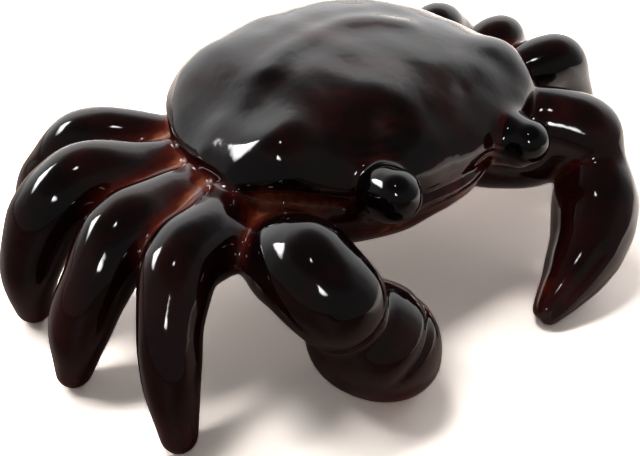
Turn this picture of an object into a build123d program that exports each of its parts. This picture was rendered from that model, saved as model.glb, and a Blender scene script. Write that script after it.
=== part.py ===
from build123d import *
import math
import os

# A hollow ceramic crab: a domed shell luted on a belly shell, with solid legs, claws and eyes.
# It looks along -Y and its right side is at -X. It stands on z = 0. Lengths are in millimetres.

# Body shells, measured from the middle of the outline
carapace_half_width = 54.0
carapace_front_depth = 51.0
carapace_rear_depth = 43.6
chin_setback = 4.0
belly_front_depth = carapace_front_depth - chin_setback
crease_height = 43.0
dome_rise = 22.5
carapace_top_height = crease_height + dome_rise
belly_height = 18.0
body_wall = 5.0
vent_radius = 3.0
overrun = 1.0
crease_pitch_degrees = 2.5

# Legs: their roots lie under the carapace, and their knees and feet reach out from its edge
leg_root_inset = 8.5
leg_root_out = carapace_half_width - leg_root_inset
root_spread_share = 0.722
leg_root_spread = carapace_rear_depth * root_spread_share
first_root_share = 0.167
first_root_fore = carapace_front_depth * first_root_share
knee_reach = 23.0
knee_out = carapace_half_width + knee_reach
right_knee_drop = 5.0
right_knee_height = crease_height - right_knee_drop
left_knee_lift = 0.5
left_knee_height = crease_height + left_knee_lift
foot_reach = 44.5
foot_out = carapace_half_width + foot_reach
front_foot_setback = 9.0
foot_fore = carapace_front_depth - front_foot_setback
rear_foot_reach = 7.9
foot_rear = carapace_rear_depth + rear_foot_reach
leg_radius = 10.1

# Claws: how far out, forward and up each part reaches beside the carapace, and its radius
arm_lead = 7.0
arm_fore = carapace_front_depth + arm_lead
shoulder_drop = 5.5
shoulder_height = crease_height - shoulder_drop
right_arm_out_share = 0.972
right_arm_out = carapace_half_width * right_arm_out_share
right_arm_radius = 12.1
left_arm_out_share = 1.028
left_arm_out = carapace_half_width * left_arm_out_share
left_arm_radius = 12.0
right_palm_out_share = 0.833
right_palm_out = carapace_half_width * right_palm_out_share
right_palm_fore_share = 1.121
right_palm_fore = arm_fore * right_palm_fore_share
right_palm_drop = 11.5
right_palm_height = shoulder_height - right_palm_drop
right_palm_radius = 15.0
left_palm_out_share = 1.007
left_palm_out = carapace_half_width * left_palm_out_share
left_palm_fore_share = 1.241
left_palm_fore = arm_fore * left_palm_fore_share
left_palm_drop = 9.1
left_palm_height = shoulder_height - left_palm_drop
left_palm_radius = 13.0

# Eyes, set back from the front edge of the carapace and above the crease
eye_out_share = 0.452
eye_out = carapace_half_width * eye_out_share
eye_setback = 4.5
eye_fore = carapace_front_depth - eye_setback
eye_lift = 5.3
eye_height = crease_height + eye_lift
eye_radius = 6.4
eye_stalk_radius = 5.2
eye_stalk_length = 11.0

# Half of an outline seen from above, from the middle of the back to the middle of the front: shares
# of the half width, and of the rear depth (+) or of the front depth (-)
carapace_outline_shares = [
    (0.0, 1.0),
    (0.395, 0.95),
    (0.744, 0.722),
    (0.944, 0.397),
    (1.0, 0.016),
    (0.955, -0.275),
    (0.833, -0.51),
    (0.589, -0.64),
    (0.40, -0.72),
    (0.336, -0.91),
    (0.0, -1.0),
]
belly_outline_shares = [
    (0.0, 1.0),
    (0.395, 0.95),
    (0.744, 0.722),
    (0.944, 0.397),
    (1.0, 0.016),
    (0.955, -0.30),
    (0.85, -0.53),
    (0.63, -0.70),
    (0.43, -0.86),
    (0.24, -0.97),
    (0.0, -1.0),
]

# Rings of the dome: share of the outline, share of the height from crease to top
dome_shares = [
    (0.95, 0.0),
    (1.0, 0.14),
    (0.985, 0.25),
    (0.93, 0.45),
    (0.82, 0.64),
    (0.66, 0.81),
    (0.45, 0.93),
    (0.2, 1.0),
]

# Rings of the belly: share of the outline, share of the height from belly to crease
belly_shares = [
    (0.62, 0.0),
    (0.80, 0.13),
    (0.92, 0.42),
    (0.955, 0.72),
    (0.93, 1.0),
]

# A leg between its root, knee and foot: share of the way, of the knee's height, of the leg's radius
thigh_shares = [(0.0, 0.88, 0.83), (0.55, 0.97, 0.90), (1.0, 1.0, 0.98)]
right_shin_shares = [(0.42, 0.84, 0.88), (0.77, 0.50, 0.74), (1.0, 0.12, 0.46), (1.0, 0.0, 0.27)]
left_shin_shares = [(0.36, 0.84, 0.86), (0.70, 0.50, 0.72), (1.0, 0.12, 0.46), (1.0, 0.0, 0.27)]

# Each leg from the front: root's share of the root spread, knee's share of knee_out and of foot_fore
# (-) or foot_rear (+), foot's shares of foot_out and of the same two, shares of the knee's height and
# of the leg's radius
right_leg_shares = [
    (0.0, 0.955, -0.56, 0.90, -1.0, 1.0, 0.97),
    (0.31, 1.0, -0.09, 1.0, -0.21, 0.97, 0.98),
    (0.66, 1.0, 0.36, 1.0, 0.375, 0.96, 1.0),
    (1.0, 0.83, 0.78, 0.80, 1.0, 0.90, 0.88),
]
left_leg_shares = [
    (0.0, 0.92, -0.53, 0.885, -0.80, 1.0, 0.93),
    (0.31, 0.90, -0.05, 0.98, -0.15, 1.0, 0.90),
    (0.66, 0.84, 0.39, 0.95, 0.42, 1.0, 0.90),
    (1.0, 0.75, 0.73, 0.80, 1.0, 0.94, 0.86),
]

# Arms and pincers, from root to tip: shares of the reach out, forward and up, and of the radius
right_arm_shares = [
    (0.76, 0.40, 0.85, 0.74),
    (0.876, 0.55, 0.92, 0.91),
    (0.97, 0.72, 1.0, 1.0),
    (1.0, 0.88, 1.0, 1.0),
    (0.985, 0.985, 0.90, 0.90),
    (0.965, 1.035, 0.83, 0.70),
    (0.95, 1.065, 0.79, 0.42),
]
left_arm_shares = [
    (0.76, 0.46, 0.92, 0.83),
    (0.90, 0.66, 1.0, 0.96),
    (0.99, 0.81, 0.98, 1.0),
    (1.01, 0.90, 0.91, 0.92),
    (0.99, 0.98, 0.80, 0.72),
    (0.97, 1.02, 0.73, 0.42),
]
right_palm_shares = [
    (1.0, 0.83, 1.0, 0.66),
    (0.92, 0.865, 0.73, 1.0),
    (0.835, 0.895, 0.46, 0.955),
    (0.745, 0.94, 0.34, 0.72),
    (0.665, 0.975, 0.24, 0.43),
    (0.61, 1.0, 0.15, 0.2),
]
left_palm_shares = [
    (1.0, 0.75, 1.0, 0.92),
    (0.89, 0.84, 0.73, 1.0),
    (0.74, 0.92, 0.49, 0.885),
    (0.53, 0.965, 0.30, 0.65),
    (0.29, 1.0, 0.105, 0.30),
]

# The finger leaves the palm at this share of the pincer's rows, on the side towards the crab's middle
knuckle_share = 0.4
finger_side_shares = (0.9, 0.2, 0.2)
stalk_tip_share = 0.85
vent_reach_share = 4.0

RIGHT = -1
LEFT = 1


def outline_wire(outline, front_depth, share, level, pitch):
    """A closed flat ring of the body, pitched down towards the front."""
    def point(x_share, y_share):
        y = y_share * share * (carapace_rear_depth if y_share > 0 else front_depth)
        return (x_share * carapace_half_width * share, y, level + y * math.tan(math.radians(pitch)))

    right = [point(x, y) for x, y in outline]
    left = [point(-x, y) for x, y in outline[1:-1]]
    return Wire([Spline(*right, *reversed(left), periodic=True)])


def dome_solid(inset):
    """The dome's outer form, or its hollow: drawn in by inset, and run out through the crease."""
    wires = []
    foot = crease_height - (overrun if inset else 0)
    for share, rise in dome_shares:
        level = foot + rise * (carapace_top_height - inset - foot)
        drawn_in = share - inset / carapace_half_width
        ring = (carapace_outline_shares, carapace_front_depth, drawn_in, level, crease_pitch_degrees)
        wires.append(outline_wire(*ring))
    return Solid.make_loft(wires)


def belly_solid(inset):
    """The belly's outer form, or its hollow: drawn in by inset, and run out through the crease."""
    wires = []
    brim = crease_height + (overrun if inset else 0)
    for share, rise in belly_shares:
        level = belly_height + inset + rise * (brim - inset - belly_height)
        drawn_in = share - inset / carapace_half_width
        ring = (belly_outline_shares, belly_front_depth, drawn_in, level, rise * crease_pitch_degrees)
        wires.append(outline_wire(*ring))
    return Solid.make_loft(wires)


def tube_solid(points, radii, level_end):
    """A limb through round sections square to a smooth path, the last one level if level_end."""
    points = [Vector(*p) for p in points]
    path = Spline(*points)
    run = points[-1] - points[0]
    side = Vector(run.Y, -run.X, 0).normalized()
    sections = []
    for point, radius in zip(points, radii):
        direction = path.tangent_at(path.param_at_point(point))
        if level_end and point is points[-1]:
            direction = Vector(0, 0, -1)
        across = (side - direction * side.dot(direction)).normalized()
        plane = Plane(origin=point, x_dir=across, z_dir=direction)
        sections.append(Wire.make_circle(radius, plane))
    return Solid.make_loft(sections)


def largest(shape):
    """The one solid left after a cut, without crumbs."""
    return max(shape.solids(), key=lambda s: s.volume)


def cut(shape, *tools):
    for tool in tools:
        shape = largest(shape - tool)
    return shape


def above_floor(shape):
    """The part of a piece above the floor, so that it rests on a flat spot."""
    return largest(split(shape, bisect_by=Plane.XY, keep=Keep.TOP))


def belly_shell(outer):
    vent = Pos(0, 0, belly_height) * Cylinder(vent_radius, body_wall * vent_reach_share)
    return largest(outer - belly_solid(body_wall) - vent)


def leg(side, shares, shin_shares, knee_height):
    """A leg that rises a little from its root, bends over the knee and comes down to a flat foot."""
    root, knee_x, knee_y, foot_x, foot_y, height, size = shares
    start = (leg_root_out, root * leg_root_spread - first_root_fore)
    knee = (knee_x * knee_out, knee_y * (foot_rear if knee_y > 0 else foot_fore))
    foot = (foot_x * foot_out, foot_y * (foot_rear if foot_y > 0 else foot_fore))
    points = []
    radii = []
    for low, high, rows in ((start, knee, thigh_shares), (knee, foot, shin_shares)):
        for way, rise, girth in rows:
            x = low[0] + way * (high[0] - low[0])
            y = low[1] + way * (high[1] - low[1])
            points.append((side * x, y, rise * height * knee_height))
            radii.append(girth * size * leg_radius)
    return tube_solid(points, radii, True)


def reach_points(side, shares, out, fore, up):
    return [(side * a * out, -b * fore, c * up) for a, b, c, _ in shares]


def girths(shares, radius):
    return [row[3] * radius for row in shares]


def pincer(points, radii, side):
    """The palm with its fixed finger, and the other finger, split off along the pincer's middle."""
    whole = above_floor(tube_solid(points, radii, False))
    x, y, z = finger_side_shares
    inward = Vector(-side * x, y, z).normalized()
    knuckle = Vector(*points[round(knuckle_share * len(points[1:]))])
    ahead = (Vector(*points[-1]) - knuckle).normalized()
    inner_half = split(whole, bisect_by=Plane(origin=knuckle, z_dir=inward), keep=Keep.TOP)
    finger = largest(split(inner_half, bisect_by=Plane(origin=knuckle, z_dir=ahead), keep=Keep.TOP))
    return cut(whole, finger), finger


def claw(side, arm_rows, arm_reach, arm_radius, palm_rows, palm_reach, palm_radius, body):
    arm = cut(tube_solid(reach_points(side, arm_rows, *arm_reach), girths(arm_rows, arm_radius), False), *body)
    palm, finger = pincer(reach_points(side, palm_rows, *palm_reach), girths(palm_rows, palm_radius), side)
    return {"arm": arm, "palm": cut(palm, arm), "finger": cut(finger, arm)}


def eye(side, body):
    """An eyeball on the tip of a short stalk that points forward from the front of the body."""
    ball = Pos(side * eye_out, -eye_fore, eye_height) * Sphere(eye_radius)
    middle = (side * eye_out, -eye_fore + eye_stalk_length / 2, eye_height)
    stalk = Plane(origin=middle, z_dir=(0, -1, 0)) * Cone(
        eye_stalk_radius, eye_stalk_radius * stalk_tip_share, eye_stalk_length
    )
    return {"eyeball": cut(ball, *body), "eye_stalk": cut(stalk, ball, *body)}


def build():
    dome = dome_solid(0.0)
    belly = belly_solid(0.0)
    body = (belly, dome)
    nodes = {"carapace": largest(dome - dome_solid(body_wall)), "lower_body": belly_shell(belly)}
    claws = {
        "right": claw(
            RIGHT,
            right_arm_shares, (right_arm_out, arm_fore, shoulder_height), right_arm_radius,
            right_palm_shares, (right_palm_out, right_palm_fore, right_palm_height), right_palm_radius,
            body,
        ),
        "left": claw(
            LEFT,
            left_arm_shares, (left_arm_out, arm_fore, shoulder_height), left_arm_radius,
            left_palm_shares, (left_palm_out, left_palm_fore, left_palm_height), left_palm_radius,
            body,
        ),
    }
    legs = {
        "right": (RIGHT, right_leg_shares, right_shin_shares, right_knee_height),
        "left": (LEFT, left_leg_shares, left_shin_shares, left_knee_height),
    }
    for name, (side, leg_rows, shin_rows, knee_height) in legs.items():
        for piece, solid in claws[name].items():
            nodes["%s_claw_%s" % (name, piece)] = solid
        for piece, solid in eye(side, body).items():
            nodes["%s_%s" % (name, piece)] = solid
        neighbour = claws[name]["arm"]
        for number, shares in enumerate(leg_rows, 1):
            neighbour = cut(leg(side, shares, shin_rows, knee_height), *body, neighbour)
            nodes["%s_leg_%d" % (name, number)] = neighbour
    return nodes


def centred(nodes):
    """Moves the crab so that the middle of its base is the origin."""
    box = Compound(list(nodes.values())).bounding_box()
    middle = Location((-box.center().X, -box.center().Y, -box.min.Z))
    return {name: piece.moved(middle) for name, piece in nodes.items()}, middle


pieces, shift = centred(build())
os.makedirs("parts", exist_ok=True)
for name, piece in pieces.items():
    export_step(piece, "parts/%s.step" % name)
    print(name, round(piece.volume), piece.is_valid)
print("moved by", shift.position)
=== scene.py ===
"""Glazed ceramic crab: skin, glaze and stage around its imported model.

Lengths inside this file are in millimetres until a mesh is made. The crab looks along -Y, its right
side is at -X, and it stands on z = 0.
"""

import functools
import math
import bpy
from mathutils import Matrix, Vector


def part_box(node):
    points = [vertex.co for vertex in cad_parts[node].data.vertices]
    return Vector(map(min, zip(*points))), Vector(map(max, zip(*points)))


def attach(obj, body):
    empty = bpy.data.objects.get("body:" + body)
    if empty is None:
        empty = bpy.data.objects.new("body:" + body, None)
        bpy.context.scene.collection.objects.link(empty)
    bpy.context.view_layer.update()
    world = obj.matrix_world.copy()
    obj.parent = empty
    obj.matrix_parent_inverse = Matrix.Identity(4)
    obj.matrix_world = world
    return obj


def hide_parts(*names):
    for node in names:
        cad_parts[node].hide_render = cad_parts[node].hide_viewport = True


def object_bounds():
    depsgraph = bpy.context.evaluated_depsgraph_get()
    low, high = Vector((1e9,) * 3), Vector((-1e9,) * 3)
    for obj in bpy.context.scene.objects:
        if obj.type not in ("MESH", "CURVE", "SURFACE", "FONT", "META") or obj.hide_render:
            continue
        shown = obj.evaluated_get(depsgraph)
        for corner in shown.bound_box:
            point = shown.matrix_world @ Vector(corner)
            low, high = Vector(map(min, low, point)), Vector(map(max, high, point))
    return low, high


bl_info = {
    "name": "Glazed Crab",
    "version": (1, 0, 0),
    "blender": (4, 5, 0),
    "location": "View3D > Sidebar > Crab",
    "description": "Builds the skin, the glaze and the stage of a ceramic crab",
    "category": "Object",
}

import bpy
import numpy as np
import openvdb
from mathutils import Matrix, Vector

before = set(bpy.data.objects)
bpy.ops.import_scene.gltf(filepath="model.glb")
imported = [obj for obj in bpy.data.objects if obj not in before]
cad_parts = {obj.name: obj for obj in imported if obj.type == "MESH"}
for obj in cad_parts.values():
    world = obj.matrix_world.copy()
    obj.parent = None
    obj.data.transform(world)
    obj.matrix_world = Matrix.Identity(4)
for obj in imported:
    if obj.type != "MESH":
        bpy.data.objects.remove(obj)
CAD_BOX = [list(corner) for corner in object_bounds()]

MM = 0.001
BODY = "root"

# Points a stretch along outlines, profiles and limbs
OUTLINE_STEPS = 14
PROFILE_STEPS = 9
LIMB_STEPS = 12

# The middle of the carapace in the row frame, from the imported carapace
CARAPACE_REAR = 43.6
BACK_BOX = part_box("carapace")
MIDDLE = np.array([
    (BACK_BOX[0].x + BACK_BOX[1].x) / 2 / MM,
    BACK_BOX[1].y / MM - CARAPACE_REAR,
    0.0,
])

# Half outlines seen from above, from the middle of the back to the middle of the front: millimetres
# out and forward (-) or back (+)
RIGHT_CARAPACE = [
    (0.0, 43.6), (21.3, 41.4), (40.2, 31.5), (50.2, 16.8), (53.6, 2.0), (54.2, -8.0), (53.6, -16.5),
    (49.0, -23.2), (42.0, -28.8), (33.0, -33.2), (25.0, -37.2), (18.0, -40.6), (9.0, -42.0),
    (0.0, -42.4),
]
LEFT_CARAPACE = [
    (0.0, 43.6), (21.3, 41.4), (40.2, 31.5), (51.4, 17.3), (55.4, 1.0), (55.6, -12.0), (53.6, -23.5),
    (48.4, -31.8), (39.6, -37.4), (31.0, -40.2), (23.0, -41.6), (15.4, -42.4), (8.0, -42.6),
    (0.0, -42.4),
]
BELLY_HALF = [
    (0.0, 43.6), (21.3, 41.4), (40.2, 31.5), (51.0, 17.3), (54.0, 0.7), (51.6, -14.1),
    (45.9, -24.9), (34.0, -32.9), (23.2, -39.6), (13.0, -44.0), (0.0, -45.6),
]

# Profiles from the rim to the middle: share of the outline, height
DOME_PROFILE = [
    (0.90, 41.0), (0.955, 43.2), (1.0, 46.2), (0.988, 48.6), (0.93, 53.1), (0.82, 57.4),
    (0.66, 61.1), (0.45, 63.6), (0.2, 64.6), (0.0, 64.7),
]
BELLY_PROFILE = [
    (0.0, 18.0), (0.62, 18.0), (0.80, 21.3), (0.92, 28.5), (0.955, 34.0), (0.985, 38.0),
    (0.965, 40.2), (0.915, 42.2), (0.885, 45.0), (0.0, 45.5),
]
# The rim sinks towards the front by this slope, and the tilt fades towards the middle by this gain
RIM_PITCH = math.tan(math.radians(2.5))
PITCH_GAIN = 1.1
# Share of a ring that stands for the middle itself
SMALLEST_SHARE = 0.002

# Limbs from root to tip, from the middle of the carapace: out, forward (-) or back (+), up, radius
RIGHT_LEGS = [
    [(-46.8, -8.5, 34.0, 9.2), (-61.1, -19.3, 37.3, 10.1), (-73.4, -23.6, 38.3, 9.5),
     (-81.2, -30.1, 32.3, 8.1), (-86.6, -36.8, 20.4, 7.1), (-88.8, -41.6, 4.4, 4.8)],
    [(-44.7, 0.5, 34.0, 8.6), (-63.4, -2.1, 36.4, 9.0), (-77.1, -3.6, 36.2, 10.1),
     (-86.2, -6.5, 29.7, 9.0), (-94.0, -8.1, 19.1, 7.9), (-98.2, -8.6, 4.6, 4.9)],
    [(-43.0, 12.3, 33.9, 7.7), (-60.7, 15.2, 36.8, 8.4), (-75.1, 18.4, 38.6, 10.2),
     (-86.0, 19.4, 32.4, 9.8), (-94.0, 18.9, 18.7, 7.9), (-95.6, 19.3, 4.6, 5.0)],
    [(-43.6, 23.0, 34.0, 7.8), (-55.4, 33.0, 36.7, 8.4), (-64.0, 40.4, 35.1, 8.9),
     (-70.9, 44.7, 27.8, 8.0), (-76.6, 48.4, 17.5, 7.3), (-79.2, 50.8, 3.8, 4.2)],
]
LEFT_LEGS = [
    [(54.5, -12.0, 34.0, 9.5), (64.9, -18.7, 42.5, 9.5), (72.0, -22.2, 44.4, 9.3),
     (76.8, -24.7, 38.1, 8.1), (81.9, -29.0, 24.0, 6.7), (87.2, -33.4, 4.0, 4.3)],
    [(51.2, 0.1, 34.0, 8.4), (66.2, -1.3, 44.6, 8.8), (73.0, -0.8, 41.0, 8.5),
     (80.3, -2.2, 31.0, 8.3), (88.6, -4.4, 18.0, 7.0), (96.0, -6.2, 4.2, 4.5)],
    [(45.6, 18.3, 33.9, 7.6), (58.8, 19.9, 43.0, 8.7), (68.6, 21.4, 39.0, 8.7),
     (78.2, 21.6, 30.2, 8.6), (87.0, 21.6, 18.0, 7.2), (93.4, 21.6, 4.2, 4.5)],
    [(45.5, 23.0, 33.0, 7.2), (52.5, 31.0, 34.6, 7.9), (58.0, 37.0, 34.2, 8.2),
     (64.8, 41.7, 28.6, 7.5), (72.3, 46.6, 17.6, 6.3), (78.6, 51.0, 3.6, 4.0)],
]
RIGHT_ARM = [
    (-42.0, -22.0, 27.0, 8.6), (-47.6, -30.0, 32.0, 10.6), (-51.6, -38.0, 36.6, 12.2),
    (-52.4, -44.0, 38.4, 12.6), (-52.2, -49.4, 37.0, 12.2), (-51.0, -53.4, 34.4, 11.6),
]
LEFT_ARM = [
    (43.0, -28.0, 36.0, 10.0), (50.0, -38.5, 37.5, 11.5), (54.6, -46.3, 36.2, 11.8),
    (55.2, -50.6, 33.2, 10.2), (54.2, -53.6, 30.4, 8.8),
]
LEFT_HAUNCH = [(34.0, -22.0, 25.0, 10.5), (44.0, -33.0, 26.5, 11.4), (50.5, -40.0, 29.0, 10.4)]
RIGHT_PALM = [
    (-46.0, -52.4, 25.0, 11.0), (-42.4, -54.8, 19.4, 14.2), (-39.2, -56.6, 16.6, 15.2),
    (-36.2, -58.8, 13.4, 13.2), (-32.8, -61.2, 9.0, 9.2), (-30.6, -62.6, 6.0, 6.2),
]
LEFT_PALM = [
    (53.4, -55.0, 27.0, 10.6), (48.4, -60.6, 20.6, 12.8), (40.2, -66.0, 13.9, 11.3),
    (28.9, -69.3, 8.5, 8.2), (16.4, -71.4, 4.4, 4.4),
]
# The pincers part beyond a point of the palm, along a plane that faces that way, for that length
RIGHT_GROOVE = ((-32.2, -66.7, 25.5), (0.56, -0.32, -0.76), 9.0)
LEFT_GROOVE = ((35.0, -74.5, 19.4), (-0.40, 0.68, 0.62), 60.0)
GROOVE_WIDTH = 1.1
GROOVE_LEAD = 3.0
GROOVE_FADE = 4.0
HAUNCH_FILLET = 4.0

# Eyes: middle and radius, and the stalks under them
RIGHT_EYE = (-24.2, -43.8, 47.6, 6.8)
LEFT_EYE = (25.4, -46.6, 44.9, 6.3)
EYE_BACK = (3.0, -0.4)
STALK_ROWS = [(12.0, -9.0), (6.0, -6.0), (1.5, -4.2)]
# Within this distance of an eye the crease takes no light glaze
LID_REACH = 6.0


class CrabClay(bpy.types.PropertyGroup):
    """Sizes of the clay skin."""
    grain: bpy.props.FloatProperty(
        name="Grain", description="Distance between the skin's points, in millimetres",
        default=0.8, min=0.4, max=2.0)
    limb_fillet: bpy.props.FloatProperty(
        name="Limb fillet",
        description="Width of the slip that blends a limb into the body, in millimetres",
        default=3.6, min=0.1)
    rim_fillet: bpy.props.FloatProperty(
        name="Rim fillet",
        description="Width of the glaze in the crease under the carapace, in millimetres",
        default=1.4, min=0.1)
    joint_fillet: bpy.props.FloatProperty(
        name="Joint fillet",
        description="Width of the glaze between a claw's arm and palm, in millimetres",
        default=1.2, min=0.1)
    stalk_fillet: bpy.props.FloatProperty(
        name="Stalk fillet",
        description="Width of the glaze where an eye stalk leaves the body, in millimetres",
        default=2.0, min=0.1)
    right_lid: bpy.props.FloatProperty(
        name="Right lid",
        description="Width of the slip between the back and the right eye, in millimetres",
        default=2.4, min=0.1)
    left_lid: bpy.props.FloatProperty(
        name="Left lid",
        description="Width of the slip between the back and the left eye, in millimetres",
        default=6.0, min=0.1)
    stalk_radius: bpy.props.FloatProperty(
        name="Stalk radius", description="Radius of an eye stalk, in millimetres", default=4.6, min=1.0)
    groove_depth: bpy.props.FloatProperty(
        name="Pincer groove",
        description="Depth of the line between a pincer's fingers, in millimetres",
        default=1.3, min=0.0)
    ripple: bpy.props.FloatProperty(
        name="Ripple", description="Height of the hand-modelled unevenness, in millimetres",
        default=0.12, min=0.0)


class CrabGlaze(bpy.types.PropertyGroup):
    """Colours of the glaze."""
    pooled: bpy.props.FloatVectorProperty(
        name="Pooled glaze", description="Colour where the glaze lies thick", subtype="COLOR", size=4,
        default=(0.0050, 0.0014, 0.0016, 1.0), min=0.0, max=1.0)
    maroon: bpy.props.FloatVectorProperty(
        name="Maroon", description="Colour of the glaze on the sides", subtype="COLOR", size=4,
        default=(0.042, 0.0050, 0.0042, 1.0), min=0.0, max=1.0)
    rust: bpy.props.FloatVectorProperty(
        name="Rust", description="Colour where the glaze runs thin", subtype="COLOR", size=4,
        default=(0.15, 0.020, 0.009, 1.0), min=0.0, max=1.0)
    amber: bpy.props.FloatVectorProperty(
        name="Amber",
        description="Colour of the thinnest glaze in the creases", subtype="COLOR", size=4,
        default=(0.60, 0.19, 0.09, 1.0), min=0.0, max=1.0)
    eye: bpy.props.FloatVectorProperty(
        name="Eye", description="Colour of the eyes", subtype="COLOR", size=4,
        default=(0.0012, 0.0012, 0.0015, 1.0), min=0.0, max=1.0)
    roughness: bpy.props.FloatProperty(
        name="Roughness", description="Roughness of the gloss", default=0.06, min=0.0, max=1.0)


class CrabStage(bpy.types.PropertyGroup):
    """Floor, lamps and camera."""
    floor: bpy.props.FloatVectorProperty(
        name="Floor", description="Colour of the floor", subtype="COLOR", size=4,
        default=(0.96, 0.865, 0.795, 1.0), min=0.0, max=1.0)
    floor_gain: bpy.props.FloatProperty(
        name="Floor gain", description="How much lighter the camera sees the floor than its colour",
        default=3.8, min=0.0)
    # The glaze mirrors the floor in painted shade: darkest before the crab, lighter beside it
    near_floor_painted_shade_in_glaze: bpy.props.FloatVectorProperty(
        name="Near floor in the glaze",
        description="Colour of the floor before the crab as the glaze mirrors it",
        subtype="COLOR", size=4, default=(0.12, 0.08, 0.065, 1.0), min=0.0, max=1.0)
    far_floor_painted_shade_in_glaze: bpy.props.FloatVectorProperty(
        name="Far floor in the glaze",
        description="Colour of the floor beside the crab as the glaze mirrors it",
        subtype="COLOR", size=4, default=(0.62, 0.46, 0.39, 1.0), min=0.0, max=1.0)
    lens: bpy.props.FloatProperty(
        name="Lens", description="Focal length of the camera, in millimetres", default=46.48, min=1.0)


# Fields: every shape is a distance from its surface, negative inside, on one grid

BAND = 9.6
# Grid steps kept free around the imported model
GRID_MARGIN = 5
fields = {}


def clay_grid():
    """The grid's first corner and its counts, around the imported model."""
    grain = bpy.context.scene.crab_clay.grain
    low = np.floor(np.array(CAD_BOX[0]) / MM / grain) - GRID_MARGIN
    high = np.ceil(np.array(CAD_BOX[1]) / MM / grain) + GRID_MARGIN
    return low.astype(int), (high - low).astype(int), grain


def through(rows, steps):
    """A smooth curve through rows of any width, with steps points a stretch."""
    rows = np.asarray(rows, float)
    ends = np.vstack([2 * rows[0] - rows[1], rows, 2 * rows[-1] - rows[-2]])
    t = np.linspace(0, 1, steps, endpoint=False)[:, None]
    out = []
    for a, b, c, d in zip(ends, ends[1:], ends[2:], ends[3:]):
        square = (2 * a - 5 * b + 4 * c - d) * t ** 2
        cube = (3 * b - a - 3 * c + d) * t ** 3
        out.append(0.5 * (2 * b + (c - a) * t + square + cube))
    return np.vstack([*out, rows[-1:]])


def ring(left_half, right_half, steps):
    """The whole outline as a dense closed ring."""
    whole = np.vstack([np.array(left_half), np.array(right_half)[-2:0:-1] * (-1, 1)])
    turns = np.vstack([whole[-2:], whole, whole[:3]])
    dense = through(turns, steps)
    return dense[2 * steps:-(2 * steps + 1)]


def shell_mesh(left_half, right_half, profile, lift):
    """A closed mesh of rings that follow the profile, with lift(x, y, height) added to the height."""
    outline = ring(left_half, right_half, OUTLINE_STEPS)
    rows = through(profile, PROFILE_STEPS)
    points = []
    for share, height in rows[1:-1] if profile[0][0] == 0 else rows[:-1]:
        flat = outline * max(share, SMALLEST_SHARE)
        rise = height + flat[:, 1] * RIM_PITCH * min(1.0, max(share, 0) * PITCH_GAIN)
        points.append(np.column_stack([flat, rise + lift(flat[:, 0], flat[:, 1], height)]))
    count = len(outline)
    poles = [
        [0.0, 0.0, points[0][:, 2].mean()],
        [0.0, 0.0, points[-1][:, 2].mean()],
    ]
    verts = np.vstack([*points, poles]) + MIDDLE
    here = np.arange(count)
    after = np.roll(here, -1)
    quads = np.vstack([
        np.column_stack([k + here, k + after, k + count + after, k + count + here])
        for k in range(0, (len(points) - 1) * count, count)
    ])
    last = (len(points) - 1) * count
    bottom = np.full(count, len(verts) - 2)
    top = np.full(count, len(verts) - 1)
    tris = np.vstack([
        np.column_stack([bottom, after, here]),
        np.column_stack([top, last + here, last + after]),
    ])
    return verts, quads, tris


def mesh_field(mesh):
    """The distance field of a closed mesh."""
    low, counts, grain = clay_grid()
    verts, quads, tris = mesh
    transform = openvdb.createLinearTransform(voxelSize=grain)
    grid = openvdb.FloatGrid.createLevelSetFromPolygons(
        verts.astype(np.float64), triangles=tris.astype(np.uint32), quads=quads.astype(np.uint32),
        transform=transform, halfWidth=BAND / grain)
    out = np.zeros(tuple(counts), np.float32)
    grid.copyToArray(out, ijk=tuple(int(v) for v in low))
    return out


def limb_field(rows):
    """The distance field of a round limb through rows of place and radius, and its part of the grid."""
    low, counts, grain = clay_grid()
    line = through(rows, LIMB_STEPS)
    centres = line[:, :3] + MIDDLE
    radii = line[:, 3]
    reach = (BAND + radii.max()) / grain
    start = np.maximum(np.floor(centres.min(0) / grain - low - reach).astype(int), 0)
    stop = np.minimum(np.ceil(centres.max(0) / grain - low + reach).astype(int), counts)
    axes = [
        ((np.arange(a, b) + origin) * grain).astype(np.float32)
        for a, b, origin in zip(start, stop, low)
    ]
    shape = tuple(stop - start)
    samples = np.empty((len(line),) + shape, np.float32)
    for k, (centre, radius) in enumerate(zip(centres, radii)):
        gap = [(axis - c) ** 2 for axis, c in zip(axes, centre)]
        total = gap[0][:, None, None] + gap[1][None, :, None] + gap[2][None, None, :]
        samples[k] = np.sqrt(total) - radius
    best = samples[1:-1].argmin(0)[None] + 1
    middle = np.take_along_axis(samples, best, 0)[0]
    before = np.take_along_axis(samples, best - 1, 0)[0]
    beyond = np.take_along_axis(samples, best + 1, 0)[0]
    bend = np.maximum(before + beyond - 2 * middle, 1e-6)
    offset = np.clip((before - beyond) / (2 * bend), -1, 1)
    nearest = middle - 0.25 * (before - beyond) * offset
    nearest = np.minimum(nearest, samples.min(0))
    where = tuple(slice(a, b) for a, b in zip(start, stop))
    return where, np.clip(nearest, -BAND, BAND)


def together(first, other, width):
    """Two limbs' fields as one over the box that holds both."""
    shape = tuple(clay_grid()[1])
    whole = np.full(shape, BAND, np.float32)
    whole[first[0]] = first[1]
    whole[other[0]] = blended(whole[other[0]], other[1], width)
    box = tuple(
        slice(min(a.start, b.start), max(a.stop, b.stop)) for a, b in zip(first[0], other[0])
    )
    return box, whole[box]


def blended(a, b, width):
    """The union of two fields with a fillet of that width."""
    near = np.maximum(width - np.abs(a - b), 0) / width
    return np.minimum(a, b) - near * near * width * 0.25


# Forms on the back: place, width across and along, height over the plain dome
BACK_FORMS = [
    (-43.0, -23.0, 11.0, 9.0, 4.8),
    (-47.0, 8.0, 10.0, 11.0, -2.6),
    (43.0, -24.0, 12.0, 11.0, 3.6),
    (-30.0, 26.0, 9.0, 8.0, 0.8),
    (30.0, 26.0, 9.0, 8.0, 0.8),
]
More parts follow.
